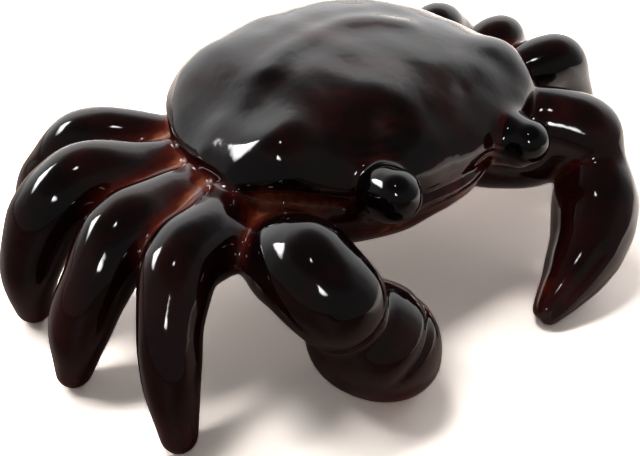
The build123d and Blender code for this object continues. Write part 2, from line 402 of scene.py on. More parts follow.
# The fold across the back, from right to left, and its width and height
BACK_FOLD = [
    (-28.0, 2.0), (-20.0, 5.6), (-11.0, 7.0), (-2.0, 9.0), (6.0, 8.6), (14.0, 4.4), (20.0, -0.6),
]
FOLD_WIDTH = 4.2
FOLD_HEIGHT = 0.9
FOLD_STEPS = 6

# The chin: height drawn up, where it begins and how far it takes forward, down and sideways
CHIN_RISE = 6.2
CHIN_FRONT = (14, 24)
CHIN_TOP = (46, 28)
CHIN_SIDE = (34, 30)

# Round swellings (+) and dimples (-) of the whole skin: place, width, height
LUMPS = [
    (-12.0, -25.0, 59.0, 8.0, 1.5), (-13.4, -29.6, 57.5, 5.0, -2.3), (-24.5, -33.5, 51.5, 4.5, 0.9),
    (18.5, -22.0, 59.0, 5.0, 0.7), (24.5, -27.5, 56.0, 4.6, 0.7), (13.3, -29.2, 57.0, 2.6, -0.5),
    (-50.0, -8.0, 48.0, 2.6, 0.8), (-49.0, -13.5, 48.5, 2.4, 0.9), (-47.5, -18.5, 48.5, 2.4, 0.9),
    (-45.0, -22.5, 48.5, 2.6, 0.8), (-51.0, -3.0, 48.0, 2.6, 0.8), (-44.5, -2.0, 51.5, 4.2, 0.7),
    (-44.5, -9.0, 51.5, 4.2, 0.8), (-43.5, -16.0, 51.5, 4.2, 0.8), (-41.0, -22.0, 51.5, 4.2, 0.7),
    (-37.5, -5.0, 55.0, 6.0, -0.6), (-36.5, -14.0, 55.0, 6.0, -0.6),
    (52.7, -41.0, 38.0, 2.6, 0.5), (57.9, -44.5, 36.0, 2.8, 0.5), (56.0, -49.0, 30.0, 2.6, 0.5),
    (52.9, -46.8, 26.0, 2.4, 0.5), (48.8, -39.7, 42.0, 2.6, 0.4),
]


def back_lift(x, y, _height):
    """The carapace's bosses and fold: height added over the plain dome, whatever its own height."""
    lift = np.zeros_like(x)
    for cx, cy, across, along, rise in BACK_FORMS:
        lift += rise * np.exp(-(((x - cx) / across) ** 2 + ((y - cy) / along) ** 2))
    fold = through(BACK_FOLD, FOLD_STEPS)
    gap = np.hypot(x[:, None] - fold[:, 0], y[:, None] - fold[:, 1])
    return lift + FOLD_HEIGHT * np.exp(-(gap.min(1) / FOLD_WIDTH) ** 2)


def belly_lift(x, y, height):
    """Draws the chin up: height added to the low front of the belly."""
    fore = np.clip((-y - CHIN_FRONT[0]) / CHIN_FRONT[1], 0, 1)
    under = np.clip((CHIN_TOP[0] - height) / CHIN_TOP[1], 0, 1)
    beside = np.clip((x + CHIN_SIDE[0]) / CHIN_SIDE[1], 0, 1)
    return CHIN_RISE * fore * fore * (3 - 2 * fore) * under * beside


def softened(field, passes):
    """The field run through a short binomial blur along each axis, as a coat of glaze would."""
    for _ in range(passes):
        for axis in range(3):
            padded = np.concatenate([field.take([0], axis), field, field.take([-1], axis)], axis)
            count = field.shape[axis]
            field = (
                padded.take(range(0, count), axis) + 2 * field + padded.take(range(2, count + 2), axis)
            ) * 0.25
    return field


# The slow swell of the skin: how many waves, their lengths and the seed of the draws
SWELLS = 14
SWELL_LENGTHS = (9.0, 26.0)
SWELL_SEED = 7


def ripples(strength):
    """A slow random swell over the whole grid, from a fixed seed."""
    low, counts, grain = clay_grid()
    rng = np.random.default_rng(SWELL_SEED)
    total = np.zeros(tuple(counts), np.float32)
    for _ in range(SWELLS):
        direction = rng.normal(size=3)
        wave = direction / np.linalg.norm(direction) * 2 * math.pi / rng.uniform(*SWELL_LENGTHS)
        turns = [
            np.exp(1j * w * (np.arange(n) + l) * grain).astype(np.complex64)
            for w, n, l in zip(wave, counts, low)
        ]
        start = np.complex64(np.exp(1j * rng.uniform(0, 2 * math.pi)))
        flat = start * turns[0][:, None, None] * turns[1][None, :, None]
        total += (flat * turns[2][None, None, :]).real
    return total * (strength / math.sqrt(SWELLS / 2))


def lumps():
    """The height of all the swellings and dimples, on the whole grid."""
    low, counts, grain = clay_grid()
    total = np.zeros(tuple(counts), np.float32)
    for x, y, z, width, height in LUMPS:
        falls = [
            np.exp(-(((np.arange(n) + l) * grain - c) / width) ** 2).astype(np.float32)
            for n, l, c in zip(counts, low, np.array((x, y, z)) + MIDDLE)
        ]
        flat = height * falls[0][:, None, None] * falls[1][None, :, None]
        total += flat * falls[2][None, None, :]
    return total


def plane_distance(point, facing):
    """Distance in front of a plane, on the whole grid."""
    low, counts, grain = clay_grid()
    facing = np.array(facing) / np.linalg.norm(facing)
    point = np.array(point) + MIDDLE
    parts = [((np.arange(n) + l) * grain - p) * f for n, l, p, f in zip(counts, low, point, facing)]
    total = parts[0][:, None, None] + parts[1][None, :, None] + parts[2][None, None, :]
    return total.astype(np.float32)


def groove_planes(groove, rows):
    """Distances across the pincer's groove and along it, from where it begins."""
    start, facing, _length = groove
    tip = np.array(rows[-1][:3])
    return plane_distance(start, facing), plane_distance(start, tip - start)


# Places where the glaze ran thin, and where a painted highlight and a painted floor reflection lie:
# place, width, how thin
THIN_GLAZE_AND_PAINTED_LIGHT_SPOTS = [
    (2.0, -43.0, 31.0, 17.0, 0.6), (18.0, -41.0, 34.0, 11.0, 0.35), (-17.0, -38.0, 29.0, 9.0, 0.9),
    # The first spot here is amber glaze with a painted highlight on it, at the root between the first
    # two right legs
    (-58.5, -3.5, 35.5, 6.0, 1.6), (-53.0, -16.5, 31.0, 5.5, 1.3), (-50.0, 20.0, 36.5, 5.0, 0.4),
    (-46.0, 31.0, 36.0, 5.0, 0.3), (-34.0, 22.0, 51.0, 8.0, 0.34), (-30.0, -26.0, 38.0, 6.0, 0.34),
    (-26.5, -30.0, 34.0, 4.5, 0.4), (-13.4, -29.6, 57.5, 6.0, 0.2), (45.6, -41.5, 44.0, 4.5, 0.36),
    (50.0, -48.3, 28.0, 5.0, 0.62), (38.0, -53.0, 22.0, 5.5, 0.28), (28.0, -60.0, 12.0, 5.5, 0.34),
    # The second and third spots here, under the right palm, are thin glaze with a painted reflection of
    # the floor
    (19.0, -67.0, 6.0, 5.0, 0.36), (-42.0, -64.0, 5.0, 9.0, 0.5), (-33.0, -66.0, 5.0, 7.0, 0.55),
    (-56.0, -32.0, 22.0, 7.0, 0.45), (-63.0, -22.0, 22.0, 7.0, 0.5), (-89.0, -42.0, 3.0, 7.0, 0.4),
    (-99.0, -10.0, 3.0, 7.0, 0.4), (-96.0, 19.0, 3.0, 7.0, 0.4), (-80.0, 51.0, 3.0, 7.0, 0.4),
]


def thinness_and_painted_light(places):
    """How thin the glaze ran at places in millimetres, with a painted highlight and a painted floor
    reflection among the spots.
    """
    total = np.zeros(len(places))
    for x, y, z, width, amount in THIN_GLAZE_AND_PAINTED_LIGHT_SPOTS:
        gap = np.linalg.norm(places - MIDDLE - (x, y, z), axis=1)
        total += amount * np.exp(-(gap / width) ** 2)
    return total


# Blur passes of the glaze coat, of the form that its ridges are read from, and of the shelter
COAT_PASSES = 2
ROUND_PASSES = 8
SHELTER_PASSES = 22
SHELTER_STEP = 2
DEEPEST_FILLET = 4


def limb_fields():
    """The own field of every leg, claw, stalk and eye, by piece."""
    limbs = {}
    for side, legs in (("right", RIGHT_LEGS), ("left", LEFT_LEGS)):
        for number, rows in enumerate(legs, 1):
            limbs["%s_leg_%d" % (side, number)] = limb_field(rows)
    limbs["right_claw_arm"] = limb_field(RIGHT_ARM)
    limbs["left_claw_arm"] = together(limb_field(LEFT_ARM), limb_field(LEFT_HAUNCH), HAUNCH_FILLET)
    limbs["right_claw_palm"] = limb_field(RIGHT_PALM)
    limbs["left_claw_palm"] = limb_field(LEFT_PALM)
    stalk_radius = bpy.context.scene.crab_clay.stalk_radius
    for side, (x, y, z, radius) in (("right", RIGHT_EYE), ("left", LEFT_EYE)):
        stalk = [(x, y + back, z + up, stalk_radius) for back, up in STALK_ROWS]
        limbs[side + "_eye_stalk"] = limb_field(stalk)
        back_end = (x, y + EYE_BACK[0], z + EYE_BACK[1], radius)
        limbs[side + "_eyeball"] = limb_field([back_end, (x, y, z, radius)])
    return limbs


def joined_clay(shapes, limbs):
    """All the clay with its fillets, and a field that falls to nothing at the eyes."""
    sizes = bpy.context.scene.crab_clay
    lower = shapes["lower_body"].copy()
    for name, (where, limb) in limbs.items():
        if "palm" in name or "eye" in name:
            continue
        lower[where] = blended(lower[where], limb, sizes.limb_fillet)
    for part, width in (("claw_palm", sizes.joint_fillet), ("eye_stalk", sizes.stalk_fillet)):
        for side in ("right", "left"):
            where, limb = limbs["%s_%s" % (side, part)]
            lower[where] = blended(lower[where], limb, width)
    upper = shapes["carapace"].copy()
    beside_eyes = np.ones_like(upper)
    for name, width in (("right_eyeball", sizes.right_lid), ("left_eyeball", sizes.left_lid)):
        where, limb = limbs[name]
        upper[where] = blended(upper[where], limb, width)
        beside_eyes[where] = np.minimum(beside_eyes[where], np.clip(limb / LID_REACH, 0, 1))
    return blended(upper, lower, sizes.rim_fillet), beside_eyes


def cut_grooves(skin, limbs):
    """Cuts the line between each pincer's fingers, and gives its planes by side."""
    depth = bpy.context.scene.crab_clay.groove_depth
    planes = {}
    grooves = (("right", RIGHT_GROOVE, RIGHT_PALM), ("left", LEFT_GROOVE, LEFT_PALM))
    for side, groove, rows in grooves:
        across, ahead = groove_planes(groove, rows)
        planes[side] = (across, ahead)
        where, limb = limbs["%s_claw_palm" % side]
        begun = np.clip((ahead[where] + GROOVE_LEAD) / GROOVE_FADE, 0, 1)
        ending = np.clip((groove[2] - ahead[where]) / GROOVE_FADE, 0, 1)
        line = np.exp(-(across[where] / GROOVE_WIDTH) ** 2) * begun * (limb < GROOVE_FADE) * ending
        skin[where] += depth * line
    return planes


def share_out(parts, planes):
    """How far every place lies outside each piece's share, by piece, and the nearest field."""
    shape = parts["carapace"][1].shape
    nearest = np.full(shape, BAND, np.float32)
    second = np.full(shape, BAND, np.float32)
    owner = np.full(shape, -1, np.int8)
    for index, (where, field) in enumerate(parts.values()):
        best, runner = nearest[where], second[where]
        closer = field < best
        second[where] = np.where(closer, best, np.minimum(runner, field))
        owner[where] = np.where(closer, index, owner[where])
        nearest[where] = np.where(closer, field, best)
    shares = {}
    for index, (name, (where, field)) in enumerate(parts.items()):
        others = np.where(owner[where] == index, second[where], nearest[where])
        shares[name] = (where, (field - others) * 0.5)
    for side, (across, ahead) in planes.items():
        where, share = shares["%s_claw_palm" % side]
        beyond = np.minimum(across[where], ahead[where])
        shares["%s_claw_finger" % side] = (where, np.maximum(share, -beyond))
        shares["%s_claw_palm" % side] = (where, np.maximum(share, beyond))
    return shares, nearest


def make_fields():
    """The skin's field, each piece's share of it and what the glaze needs, kept for the operators."""
    shapes = {
        "carapace": mesh_field(
            shell_mesh(LEFT_CARAPACE, RIGHT_CARAPACE, DOME_PROFILE, back_lift)),
        "lower_body": mesh_field(
            shell_mesh(BELLY_HALF, BELLY_HALF, BELLY_PROFILE, belly_lift)),
    }
    limbs = limb_fields()
    plain, beside_eyes = joined_clay(shapes, limbs)
    skin = plain - lumps()
    planes = cut_grooves(skin, limbs)
    everywhere = (slice(None),) * 3
    parts = {name: (everywhere, field) for name, field in shapes.items()}
    shares, nearest = share_out({**parts, **limbs}, planes)

    fillet = (nearest - plain) * beside_eyes
    skin = softened(skin + ripples(bpy.context.scene.crab_clay.ripple), COAT_PASSES)
    floor = plane_distance(-MIDDLE, (0, 0, -1))
    skin = np.maximum(skin, floor)
    fields["skin"] = skin
    fields["fillet"] = softened(np.clip(fillet, 0, DEEPEST_FILLET), COAT_PASSES)
    fields["shares"] = shares
    fields["round"] = curvature(softened(skin, ROUND_PASSES))
    fields["shelter"] = shelter(skin)


def shelter(skin):
    """How much clay stands round a place: a half on a flat face, more in a gap."""
    step = SHELTER_STEP
    solid = (skin[::step, ::step, ::step] < 0).astype(np.float32)
    solid = softened(solid, SHELTER_PASSES)
    whole = solid.repeat(step, 0).repeat(step, 1).repeat(step, 2)
    return whole[tuple(slice(count) for count in skin.shape)]


def curvature(field):
    """Twice the mean curvature: above zero on ridges, below zero in creases."""
    grain = bpy.context.scene.crab_clay.grain
    total = -6 * field
    for axis in range(3):
        total += np.roll(field, 1, axis) + np.roll(field, -1, axis)
    return np.clip(total / grain ** 2, -1, 1)


def sample(field, places):
    """Values of a field at places in grid steps."""
    top = np.array(field.shape) - 2
    base = np.clip(np.floor(places).astype(int), 0, top)
    part = places - base
    out = np.zeros(len(places))
    for dx in (0, 1):
        for dy in (0, 1):
            for dz in (0, 1):
                weight = (
                    (part[:, 0] if dx else 1 - part[:, 0])
                    * (part[:, 1] if dy else 1 - part[:, 1])
                    * (part[:, 2] if dz else 1 - part[:, 2])
                )
                out += weight * field[base[:, 0] + dx, base[:, 1] + dy, base[:, 2] + dz]
    return out


def slopes(field, places):
    """Unit gradients of a field at places in grid steps."""
    out = np.empty((len(places), 3))
    for axis in range(3):
        shift = np.zeros(3)
        shift[axis] = 1.0
        out[:, axis] = sample(field, places + shift) - sample(field, places - shift)
    return out / np.maximum(np.linalg.norm(out, axis=1, keepdims=True), 1e-9)


def main_island(points, quads):
    """The largest connected part of a mesh."""
    label = np.arange(len(points))
    while True:
        low = label[quads].min(1)
        fresh = label.copy()
        for column in range(quads.shape[1]):
            np.minimum.at(fresh, quads[:, column], low)
        fresh = fresh[fresh]
        if (fresh == label).all():
            break
        label = fresh
    biggest = np.bincount(label[quads[:, 0]]).argmax()
    quads = quads[label[quads[:, 0]] == biggest]
    used = np.unique(quads)
    place = np.zeros(len(points), int)
    place[used] = np.arange(len(used))
    return points[used], place[quads]


# How far a piece runs on under its neighbours, and how steeply it sinks there
OVERLAP = 1.2
TUCK = 0.25
# Field value outside a piece's own grid, and the margin that the grid keeps
OUTSIDE = 3.0
MARGIN = 1.5
# Points below this height lie on the floor
FLOOR_REACH = 0.12
# One polygon in so many tells whether a piece faces outward
CHECK_EVERY = 97


def skin_piece(name):
    """A closed piece of the skin: its surface is the skin, and it tucks under its neighbours."""
    low, _counts, grain = clay_grid()
    where, share = fields["shares"][name]
    skin = fields["skin"][where]
    tucked = skin + TUCK * np.maximum(share, 0)
    piece = np.maximum(tucked, share - OVERLAP)
    inside = np.argwhere(piece < MARGIN)
    first = np.maximum(inside.min(0) - 2, 0)
    last = inside.max(0) + 3
    box = tuple(slice(a, b) for a, b in zip(first, last))
    piece = np.ascontiguousarray(np.pad(piece[box], 2, constant_values=OUTSIDE))
    grid = openvdb.FloatGrid(OUTSIDE)
    grid.copyFromArray(piece.astype(np.float32))
    points, quads = grid.convertToQuads(isovalue=0.0)
    points = points.astype(float) - 2
    points, quads = main_island(points, quads.astype(int))
    starts = np.array([s.start or 0 for s in where])
    local = points + first
    tucked_share = sample(share, local)
    free = tucked_share < OVERLAP * 0.5
    normals = slopes(skin, local)
    for _ in range(2):
        value = sample(tucked, local)
        move = np.where(free & (np.abs(value) < grain), value / grain, 0.0)
        local = local - normals * move[:, None]
    places = local + starts
    normals = slopes(fields["skin"], places)
    world = (places + low) * grain
    world[:, 2] = np.maximum(world[:, 2], 0.0)
    grounded = world[:, 2] < FLOOR_REACH
    normals[grounded] = (0, 0, -1)
    mesh = bpy.data.meshes.new(name + "_skin")
    mesh.from_pydata((world * MM).tolist(), [], quads.tolist())
    mesh.update()
    outward = sum(
        Vector(normals[v]).dot(p.normal)
        for p in list(mesh.polygons)[::CHECK_EVERY] for v in p.vertices
    )
    if outward < 0:
        mesh.flip_normals()
    mesh.polygons.foreach_set("use_smooth", [True] * len(mesh.polygons))
    mesh.normals_split_custom_set_from_vertices(normals.tolist())
    for label in ("fillet", "round", "shelter"):
        field = fields[label]
        attribute = mesh.attributes.new(label, "FLOAT", "POINT")
        attribute.data.foreach_set("value", sample(field, places).astype(np.float32))
    # Thin glaze, and in two places a painted highlight and a painted floor reflection
    attribute = mesh.attributes.new("thin", "FLOAT", "POINT")
    attribute.data.foreach_set("value", thinness_and_painted_light(world).astype(np.float32))
    piece = bpy.data.objects.new(name + "_skin", mesh)
    bpy.context.scene.collection.objects.link(piece)
    return piece


# Materials

def new_material(name):
    """An empty material with a Principled shader on its output."""
    material = bpy.data.materials.new(name)
    material.use_nodes = True
    nodes = material.node_tree.nodes
    nodes.clear()
    output = nodes.new("ShaderNodeOutputMaterial")
    shader = nodes.new("ShaderNodeBsdfPrincipled")
    material.node_tree.links.new(shader.outputs["BSDF"], output.inputs["Surface"])
    return material, nodes, material.node_tree.links, shader


def ramp(nodes, stops):
    """A colour ramp through stops of place and colour."""
    node = nodes.new("ShaderNodeValToRGB")
    elements = node.color_ramp.elements
    while len(elements) < len(stops):
        elements.new(0.5)
    for element, (at, colour) in zip(elements, stops):
        element.position = at
        element.color = colour
    return node


def grey_ramp(nodes, stops):
    """A ramp through stops of place and level."""
    return ramp(nodes, [(at, (level, level, level, 1.0)) for at, level in stops])


def math_node(nodes, links, operation, *inputs):
    """A Math node's output, with numbers or other outputs as its inputs."""
    node = nodes.new("ShaderNodeMath")
    node.operation = operation
    for socket, value in zip(node.inputs, inputs):
        if isinstance(value, (int, float)):
            socket.default_value = value
        else:
            links.new(value, socket)
    return node.outputs[0]


GLAZE_IOR = 1.52
EYE_ROUGHNESS = 0.04
EYE_CLOUDS = 90.0

# Noises of the glaze: scale, detail, roughness
PATCHES = (130.0, 3.0, 0.6)
CLOUDS = (55.0, 4.0, 0.55)
SPECKLES = (420.0, 3.0, 0.6)
WAVES = (160.0, 2.0, 0.5)
# Patches gather the thin glaze: gain and offset of their noise, least and most
PATCH_GAIN, PATCH_OFFSET, PATCH_LEAST, PATCH_MOST = 2.4, -0.75, 0.25, 1.1
# How much thinner the glaze is in a crease, on a ridge, in a gap, in a cloud and in a speckle
CREASE_THINS, RIDGE_THINS, GAP_THINS, CLOUD_THINS, SPECKLE_THINS = 0.62, 0.04, 1.8, 0.45, 0.12
# Near the floor: change by the metre, and how much thinner on the floor
LOW_SLOPE, LOW_THINS = -3.6, 0.18
# From pooled to thinnest glaze
GLAZE_STOPS = (0.0, 0.18, 0.45, 0.82)
WAVE_STRENGTH, WAVE_DEPTH = 0.18, 0.0006


def oxblood_glaze():
    """Near-black glaze that breaks to maroon and rust where it is thin or pooled in a crease, with a
    painted highlight at a right leg root and a painted floor reflection under the right palm.
    """
    colours = bpy.context.scene.crab_glaze
    material, nodes, links, shader = new_material("oxblood_glaze_coat")
    shader.inputs["Roughness"].default_value = colours.roughness
    shader.inputs["IOR"].default_value = GLAZE_IOR
    place = nodes.new("ShaderNodeTexCoord").outputs["Object"]
    calc = functools.partial(math_node, nodes, links)

    def attribute(name):
        node = nodes.new("ShaderNodeAttribute")
        node.attribute_name = name
        return node.outputs["Fac"]

    def noise(scale, detail, rough):
        node = nodes.new("ShaderNodeTexNoise")
        node.inputs["Scale"].default_value = scale
        node.inputs["Detail"].default_value = detail
        node.inputs["Roughness"].default_value = rough
        links.new(place, node.inputs["Vector"])
        return node.outputs["Fac"]

    patch = calc("MULTIPLY_ADD", noise(*PATCHES), PATCH_GAIN, PATCH_OFFSET)
    patch = calc("MINIMUM", calc("MAXIMUM", patch, PATCH_LEAST), PATCH_MOST)
    crease = calc("MULTIPLY", calc("MULTIPLY", attribute("fillet"), CREASE_THINS), patch)
    cloud = calc("SUBTRACT", noise(*CLOUDS), 0.5)
    speckle = calc("SUBTRACT", noise(*SPECKLES), 0.5)
    gap = calc("MULTIPLY", calc("SUBTRACT", attribute("shelter"), 0.5), GAP_THINS)
    height = nodes.new("ShaderNodeSeparateXYZ")
    links.new(place, height.inputs["Vector"])
    low = calc("MULTIPLY_ADD", height.outputs["Z"], LOW_SLOPE, LOW_THINS)
    thin = crease
    for part in (
        calc("MULTIPLY", attribute("round"), RIDGE_THINS),
        # Thin glaze spots, among them the painted highlight and the painted floor reflection
        calc("MULTIPLY", attribute("thin"), patch),
        calc("MAXIMUM", gap, 0.0),
        calc("MAXIMUM", low, 0.0),
        calc("MULTIPLY", cloud, CLOUD_THINS),
        calc("MULTIPLY", speckle, SPECKLE_THINS),
    ):
        thin = calc("ADD", thin, part)
    tones = (colours.pooled, colours.maroon, colours.rust, colours.amber)
    shade = ramp(nodes, list(zip(GLAZE_STOPS, tones)))
    links.new(thin, shade.inputs["Fac"])
    links.new(shade.outputs["Color"], shader.inputs["Base Color"])

    bump = nodes.new("ShaderNodeBump")
    bump.inputs["Strength"].default_value = WAVE_STRENGTH
    bump.inputs["Distance"].default_value = WAVE_DEPTH
    links.new(noise(*WAVES), bump.inputs["Height"])
    links.new(bump.outputs["Normal"], shader.inputs["Normal"])
    return material


def black_glaze():
    """Plain black glaze of the eyes."""
    colours = bpy.context.scene.crab_glaze
    material, nodes, links, shader = new_material("black_glaze_coat")
    shader.inputs["Roughness"].default_value = EYE_ROUGHNESS
    shader.inputs["IOR"].default_value = GLAZE_IOR
    place = nodes.new("ShaderNodeTexCoord").outputs["Object"]
    cloud = nodes.new("ShaderNodeTexNoise")
    cloud.inputs["Scale"].default_value = EYE_CLOUDS
    links.new(place, cloud.inputs["Vector"])
    shade = ramp(nodes, [(0.35, colours.eye), (0.75, colours.pooled)])
    links.new(cloud.outputs["Fac"], shade.inputs["Fac"])
    links.new(shade.outputs["Color"], shader.inputs["Base Color"])
    return material


made = {}


def glaze(kind):
    """The material of that kind, made once."""
    if kind not in made:
        made[kind] = {"oxblood_glaze": oxblood_glaze, "black_glaze": black_glaze}[kind]()
    return made[kind]


def hand_over(piece, node, kind):
    """Gives a finished piece its glaze and its body, and hides the imported part that it stands for."""
    piece.data.materials.append(glaze(kind))
    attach(piece, BODY)
    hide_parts(node)


class CRAB_OT_clay(bpy.types.Operator):
    """Works out the clay form that every piece of the skin is cut from."""
    bl_idname = "crab.clay"
    bl_label = "Clay form"

    def execute(self, context):
        make_fields()
        return {"FINISHED"}


class CRAB_OT_carapace(bpy.types.Operator):
    """Makes the domed back and the belly under it."""
    bl_idname = "crab.carapace"
    bl_label = "Carapace and belly"

    def execute(self, context):
        for node in ("carapace", "lower_body"):
            hand_over(skin_piece(node), node, "oxblood_glaze")
        return {"FINISHED"}


class CRAB_OT_legs(bpy.types.Operator):
    """Makes the eight legs."""
    bl_idname = "crab.legs"
    bl_label = "Legs"

    def execute(self, context):
        for side in ("right", "left"):
            for number in range(1, 5):
                node = "%s_leg_%d" % (side, number)
                hand_over(skin_piece(node), node, "oxblood_glaze")
        return {"FINISHED"}


class CRAB_OT_claws(bpy.types.Operator):
    """Makes the arms, palms and fingers of both claws."""
    bl_idname = "crab.claws"
    bl_label = "Claws"

    def execute(self, context):
        for side in ("right", "left"):
            for part in ("arm", "palm", "finger"):
                node = "%s_claw_%s" % (side, part)
                hand_over(skin_piece(node), node, "oxblood_glaze")
        return {"FINISHED"}


class CRAB_OT_eyes(bpy.types.Operator):
    """Makes the eye stalks and the black eyes on them."""
    bl_idname = "crab.eyes"
    bl_label = "Eyes"

    def execute(self, context):
        for side in ("right", "left"):
            stalk = side + "_eye_stalk"
            ball = side + "_eyeball"
            hand_over(skin_piece(stalk), stalk, "oxblood_glaze")
            hand_over(skin_piece(ball), ball, "black_glaze")
        return {"FINISHED"}


# Stage

CAMERA_PLACE = (-0.14876, -0.13887, 0.16800)
CAMERA_RIGHT = (0.75092, -0.65854, 0.04937)
CAMERA_UP = (0.38615, 0.49851, 0.77613)
CAMERA_BACK = (-0.5358, -0.5637, 0.6287)


FLOOR_SIZE = 6.0
FLOOR_GRAIN = 900.0
FLOOR_FLECK = 0.985
# The painted shade on the mirrored floor lifts this way, with this gain and offset by the metre
MIRROR_WAY = (0.95, 0.30, 0.0)
MIRROR_GAIN, MIRROR_OFFSET, MIRROR_BESIDE = 4.167, 0.5, 0.333
# Beyond the crab a painted light lifts it further by the metre, up to this distance
BEYOND_PAINTED_LIGHT_GAIN, BEYOND_LIMIT = 22.0, 0.12
# Away from the crab the camera sees the floor lighter, by the metre, from this distance on
AWAY_GAIN, AWAY_START = 40.0, 0.3


def floor_material():
    """White floor, lighter to the camera than to the glaze that mirrors it: to the glaze it carries
    painted shade before the crab and painted light beyond it.
    """
    stage = bpy.context.scene.crab_stage
    material, nodes, links, shader = new_material("floor_white")
    shader.inputs["Roughness"].default_value = 0.5
    shader.inputs["Specular IOR Level"].default_value = 0.3
    calc = functools.partial(math_node, nodes, links)
    place = nodes.new("ShaderNodeTexCoord").outputs["Object"]
    grain = nodes.new("ShaderNodeTexNoise")
    grain.inputs["Scale"].default_value = FLOOR_GRAIN
    links.new(place, grain.inputs["Vector"])
    tone = tuple(stage.floor)
    fleck = tuple(c * FLOOR_FLECK for c in tone[:3]) + (1.0,)
    shade = ramp(nodes, [(0.3, fleck), (0.7, tone)])
    links.new(grain.outputs["Fac"], shade.inputs["Fac"])
    seen = nodes.new("ShaderNodeLightPath").outputs["Is Camera Ray"]
    mix = nodes.new("ShaderNodeMix")
    mix.data_type = "RGBA"
    links.new(seen, mix.inputs["Factor"])

    def vector_node(operation):
        node = nodes.new("ShaderNodeVectorMath")
        node.operation = operation
        return node

    depth = vector_node("DOT_PRODUCT")
    depth.inputs[1].default_value = MIRROR_WAY
    links.new(place, depth.inputs[0])
    # Painted shade on the floor as the glaze and bounced light see it: darkest before the crab
    mirrored_painted_shade = ramp(nodes, [
        (0.0, tuple(stage.near_floor_painted_shade_in_glaze)),
        (MIRROR_BESIDE, tuple(stage.far_floor_painted_shade_in_glaze)),
        (1.0, tone),
    ])
    ahead = depth.outputs["Value"]
    links.new(calc("MULTIPLY_ADD", ahead, MIRROR_GAIN, MIRROR_OFFSET), mirrored_painted_shade.inputs["Fac"])
    # Painted light on the floor beyond the crab, as the glaze sees it
    beyond = calc("MAXIMUM", calc("MINIMUM", ahead, BEYOND_LIMIT), 0.0)
    lighter = vector_node("SCALE")
    links.new(calc("MULTIPLY_ADD", beyond, BEYOND_PAINTED_LIGHT_GAIN, 1.0), lighter.inputs["Scale"])
    links.new(mirrored_painted_shade.outputs["Color"], lighter.inputs[0])
    links.new(lighter.outputs[0], mix.inputs[6])
    spread = vector_node("LENGTH")
    links.new(place, spread.inputs[0])
    away = calc("MAXIMUM", calc("SUBTRACT", spread.outputs["Value"], AWAY_START), 0.0)
    gain = vector_node("SCALE")
    links.new(calc("MULTIPLY_ADD", away, AWAY_GAIN, stage.floor_gain), gain.inputs["Scale"])
    links.new(shade.outputs["Color"], gain.inputs[0])
    links.new(gain.outputs[0], mix.inputs[7])
    links.new(mix.outputs[2], shader.inputs["Base Color"])
    return material


def add_floor():
    """The floor that the crab stands on."""
    mesh = bpy.data.meshes.new("floor")
    corners = [(x * FLOOR_SIZE, y * FLOOR_SIZE, 0) for x, y in ((-1, -1), (1, -1), (1, 1), (-1, 1))]
    mesh.from_pydata(corners, [], [(0, 1, 2, 3)])
    mesh.update()
    mesh.materials.append(floor_material())
    floor = bpy.data.objects.new("floor", mesh)
    bpy.context.scene.collection.objects.link(floor)


# How much brighter a lamp's middle is than an even lamp of the same power
LAMP_PEAK = 2.55
LAMP_TARGET = (0.0, 0.0, 0.03)

# Lamps: name, direction, distance, size, power. The first are only mirrored, the others only light
SHINES = [
    ("window", (-0.60, 0.56, 0.57), 0.9, (0.54, 0.36), 8.5),
    ("front_lamp", (-0.58, -0.58, 0.58), 1.3, (0.34, 0.34), 4.5),
    ("ceiling_lamp", (-0.25, -0.12, 0.96), 1.2, (0.18, 0.18), 1.1),
]
SOFT_LAMPS = [
    ("key_lamp", (-0.50, 0.40, 0.76), 1.1, (0.40, 0.40), 4.5),
    ("fill_lamp", (-0.16, 0.20, 0.96), 1.1, (0.60, 0.60), 7.5),
]


def add_lamp(name, direction, distance, size, power):
    """A lamp in that direction from the crab, facing it, that fades towards its edges."""
    data = bpy.data.lights.new(name, "AREA")
    data.shape = "RECTANGLE"
    data.size, data.size_y = size
    data.energy = power
    data.use_nodes = True
    nodes = data.node_tree.nodes
    links = data.node_tree.links
    emission = nodes["Emission"]
    split = nodes.new("ShaderNodeSeparateXYZ")
    links.new(nodes.new("ShaderNodeNewGeometry").outputs["Parametric"], split.inputs["Vector"])
    calc = functools.partial(math_node, nodes, links)
    across = calc("MULTIPLY_ADD", split.outputs["Y"], 2.0, -1.0)
    total = calc("ADD", split.outputs["X"], split.outputs["Y"])
    along = calc("MULTIPLY_ADD", total, -2.0, 1.0)
    squares = [calc("MULTIPLY", v, v) for v in (across, along)]
    inside = calc("MAXIMUM", calc("SUBTRACT", 1.0, calc("ADD", *squares)), 0.0)
    links.new(calc("MULTIPLY", inside, LAMP_PEAK), emission.inputs["Strength"])
    lamp = bpy.data.objects.new(name, data)
    away = Vector(direction).normalized()
    place = Matrix.Translation(Vector(LAMP_TARGET) + away * distance)
    lamp.matrix_world = place @ away.to_track_quat("Z", "Y").to_matrix().to_4x4()
    bpy.context.scene.collection.objects.link(lamp)
    return lamp


# How bright the room is by the height of a direction, and from behind the camera to behind the crab
ROOM_BY_HEIGHT = [
    (0.0, 1.0), (0.35, 1.0), (0.6, 0.88), (0.7, 0.32), (0.8, 0.1), (0.87, 0.05), (1.0, 0.03),
]
ROOM_BY_DEPTH = [(0.0, 0.05), (0.45, 0.07), (0.62, 0.2), (0.75, 0.7), (0.85, 1.0)]
ROOM_BACK = (0.64, 0.768, 0.0)
ROOM_LEAST = 0.03
ROOM_STRENGTH = 1.5


